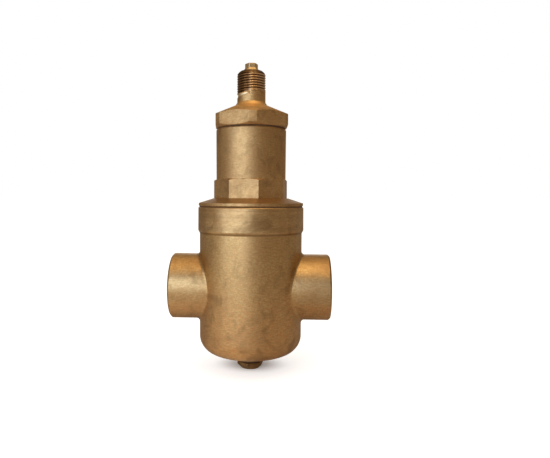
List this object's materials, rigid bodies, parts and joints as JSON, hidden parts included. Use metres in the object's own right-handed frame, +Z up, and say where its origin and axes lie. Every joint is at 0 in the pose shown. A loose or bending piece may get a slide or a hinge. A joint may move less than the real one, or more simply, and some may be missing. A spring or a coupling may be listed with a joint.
{
  "type": "air separator",
  "caption": "Brass inline micro-bubble air separator with solder sockets, a float vent chamber, a threaded vent neck and a hexagonal drain plug below.",
  "frame": {"origin": "under the drain plug's flat face, on the vertical axis", "axes": "+Z up along the body and chamber, +X along the pipe towards the outlet socket"},
  "size_m": [0.1144, 0.0768, 0.2219],
  "materials": {
    "body_brass": "cast, blasted satin",
    "chamber_brass": "forged satin with turned faces",
    "cap_brass": "forged satin with a cut thread",
    "screw_brass": "turned",
    "plug_brass": "dull, darkened",
    "inner_brass": "turned",
    "stainless": "pressed sheet",
    "mesh_steel": "woven mesh",
    "float_plastic": "moulded",
    "cage_plastic": "moulded",
    "seal_fibre": "flat seal",
    "seal_rubber": "moulded"
  },
  "bodies": {
    "separator": {"separator_body": "body_brass", "body_seal_ring": "seal_fibre", "float_chamber": "chamber_brass", "cap_seal_ring": "seal_fibre", "vent_cap": "cap_brass", "valve_seat": "inner_brass", "lever_bracket": "stainless", "bracket_screws": "stainless", "lever_pin": "stainless", "splash_baffle": "stainless", "element_bottom_plate": "cage_plastic", "element_top_plate": "cage_plastic", "element_core_tube": "stainless", "element_cage": "cage_plastic", "element_screen": "mesh_steel"},
    "float": {"float_upper_shell": "float_plastic", "float_lower_shell": "float_plastic", "float_stem": "float_plastic", "float_link_pin": "stainless"},
    "lever": {"valve_lever": "stainless"},
    "valve": {"valve_pin": "inner_brass", "valve_tip": "seal_rubber", "valve_link_pin": "stainless"},
    "vent_screw_seal": {"vent_screw_oring": "seal_rubber"},
    "vent_screw": {"vent_screw": "screw_brass"},
    "drain_plug_seal": {"drain_plug_washer": "seal_fibre"},
    "drain_plug": {"drain_plug": "plug_brass"}
  },
  "joints": [
    {"name": "float_lift", "type": "slide", "parent": "separator", "child": "float", "axis": [0, 0, 1], "range_m": [0, 0.006]},
    {"name": "lever_swing", "type": "hinge", "parent": "separator", "child": "lever", "pos_m": [0.006, 0, 0.16964], "axis": [0, 1, 0], "range_deg": [0, 19.1]},
    {"name": "valve_lift", "type": "slide", "parent": "separator", "child": "valve", "axis": [0, 0, 1], "range_m": [0, 0.002]},
    {"name": "vent_screw_rise", "type": "slide", "parent": "separator", "child": "vent_screw_seal", "axis": [0, 0, 1], "range_m": [0, 0.002]},
    {"name": "vent_screw_turn", "type": "hinge", "parent": "vent_screw_seal", "child": "vent_screw", "pos_m": [0, 0, 0.218], "axis": [0, 0, 1], "range_deg": [0, 720]},
    {"name": "drain_plug_drop", "type": "slide", "parent": "separator", "child": "drain_plug_seal", "axis": [0, 0, -1], "range_m": [0, 0.00802]},
    {"name": "drain_plug_turn", "type": "hinge", "parent": "drain_plug_seal", "child": "drain_plug", "pos_m": [0, 0, 0.005], "axis": [0, 0, -1], "range_deg": [0, 2160]}
  ],
  "couplings": [
    {"joint": "lever_swing", "follows": "float_lift", "rad_per_m": 55.556},
    {"joint": "valve_lift", "follows": "float_lift", "ratio": 0.33333},
    {"joint": "vent_screw_rise", "follows": "vent_screw_turn", "m_per_rad": 0.00015915},
    {"joint": "drain_plug_drop", "follows": "drain_plug_turn", "m_per_rad": 0.00021279}
  ]
}
